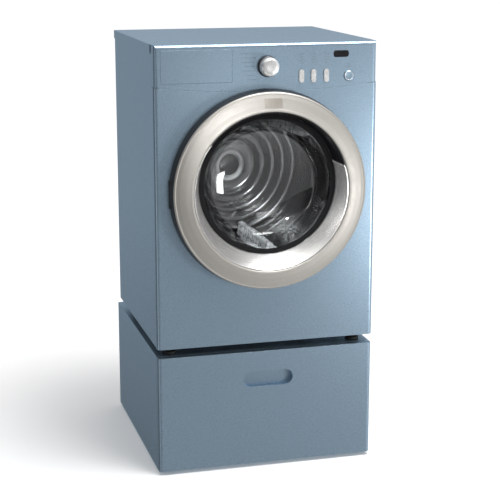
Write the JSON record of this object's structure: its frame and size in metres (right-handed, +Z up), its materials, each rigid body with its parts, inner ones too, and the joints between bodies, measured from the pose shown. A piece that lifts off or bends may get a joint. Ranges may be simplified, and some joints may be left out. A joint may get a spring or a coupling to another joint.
{
  "type": "front load washing machine",
  "caption": "Front load washing machine with round porthole door, console with knob and buttons, steel drum, standing on a matching storage drawer pedestal.",
  "frame": {"origin": "on the floor, under the middle of the overall box", "axes": "+Z up, front of the machine towards -Y, +X to the right as seen from the front"},
  "size_m": [0.688, 0.744, 1.318],
  "materials": {
    "painted_blue": "satin metallic glacier-blue enamel",
    "brushed_silver": "satin silver",
    "chrome_cap": "polished",
    "stainless": "bright stainless sheet",
    "black_plastic": "black",
    "dark_display": "gloss black window",
    "grey_rubber": "matt dark grey",
    "door_glass": "clear",
    "white_plastic": "white moulded",
    "zinc_steel": "zinc plated",
    "cast_metal": "dark cast",
    "green_board": "solder-masked board"
  },
  "bodies": {
    "machine": {"cabinet_shell": "painted_blue", "worktop": "painted_blue", "front_panel": "painted_blue", "console_fascia": "painted_blue", "pedestal_shell": "painted_blue", "rear_access_panel": "zinc_steel", "base_frame": "zinc_steel", "hinge_pin": "zinc_steel", "drum_bearing": "zinc_steel", "tub_spring_left": "zinc_steel", "tub_spring_right": "zinc_steel", "drawer_rail_left": "zinc_steel", "drawer_rail_right": "zinc_steel", "door_gasket": "grey_rubber", "drive_belt": "grey_rubber", "washer_foot_front_left": "grey_rubber", "pedestal_foot_front_left": "grey_rubber", "washer_foot_front_right": "grey_rubber", "pedestal_foot_front_right": "grey_rubber", "washer_foot_rear_left": "grey_rubber", "pedestal_foot_rear_left": "grey_rubber", "washer_foot_rear_right": "grey_rubber", "pedestal_foot_rear_right": "grey_rubber", "inlet_valve": "white_plastic", "dispenser_housing": "white_plastic", "drain_pump": "white_plastic", "tub_front": "white_plastic", "tub_rear": "white_plastic", "cord_gland": "black_plastic", "hinge_bracket": "black_plastic", "door_latch": "black_plastic", "control_board": "green_board", "display_lens": "dark_display", "counterweight": "cast_metal", "drive_motor": "cast_metal", "tub_damper_left": "cast_metal", "tub_damper_right": "cast_metal"},
    "door": {"door_frame": "black_plastic", "door_trim_ring": "brushed_silver", "door_inner_cone": "brushed_silver", "door_glass": "door_glass", "door_strike": "zinc_steel", "hinge_leaf": "black_plastic"},
    "drum": {"drum_shell": "stainless", "drum_back": "stainless", "drum_shaft": "zinc_steel", "drum_hub_cap": "chrome_cap", "drum_pulley": "zinc_steel", "drum_lifter_1": "stainless", "drum_lifter_2": "stainless", "drum_lifter_3": "stainless"},
    "motor_rotor": {"motor_pulley": "zinc_steel"},
    "knob": {"program_knob": "brushed_silver"},
    "option_1": {"option_button_1": "brushed_silver"},
    "option_2": {"option_button_2": "brushed_silver"},
    "option_3": {"option_button_3": "brushed_silver"},
    "start": {"start_button": "brushed_silver"},
    "dispenser": {"dispenser_drawer": "painted_blue"},
    "storage_drawer": {"pedestal_drawer_front": "painted_blue", "pedestal_drawer_box": "zinc_steel"}
  },
  "joints": [
    {"name": "door_hinge", "type": "hinge", "parent": "machine", "child": "door", "pos_m": [-0.298, -0.322, 0.882], "axis": [0, 0, -1], "range_deg": [0, 100]},
    {"name": "drum_spin", "type": "hinge", "parent": "machine", "child": "drum", "pos_m": [0, 0, 0.882], "axis": [0, 1, 0], "continuous": true},
    {"name": "motor_spin", "type": "hinge", "parent": "machine", "child": "motor_rotor", "pos_m": [0.1, 0.252, 0.52], "axis": [0, 1, 0], "continuous": true},
    {"name": "knob_turn", "type": "hinge", "parent": "machine", "child": "knob", "pos_m": [0, -0.314, 1.25], "axis": [0, 1, 0], "continuous": true},
    {"name": "option_press_1", "type": "slide", "parent": "machine", "child": "option_1", "axis": [0, 1, 0], "range_m": [0, 0.002], "stiffness_N_per_m": 800},
    {"name": "option_press_2", "type": "slide", "parent": "machine", "child": "option_2", "axis": [0, 1, 0], "range_m": [0, 0.002], "stiffness_N_per_m": 800},
    {"name": "option_press_3", "type": "slide", "parent": "machine", "child": "option_3", "axis": [0, 1, 0], "range_m": [0, 0.002], "stiffness_N_per_m": 800},
    {"name": "start_press", "type": "slide", "parent": "machine", "child": "start", "axis": [0, 1, 0], "range_m": [0, 0.002], "stiffness_N_per_m": 800},
    {"name": "dispenser_slide", "type": "slide", "parent": "machine", "child": "dispenser", "axis": [0, -1, 0], "range_m": [0, 0.2]},
    {"name": "storage_drawer_slide", "type": "slide", "parent": "machine", "child": "storage_drawer", "axis": [0, -1, 0], "range_m": [0, 0.48]}
  ],
  "couplings": [
    {"joint": "motor_spin", "follows": "drum_spin", "ratio": 8.893}
  ]
}
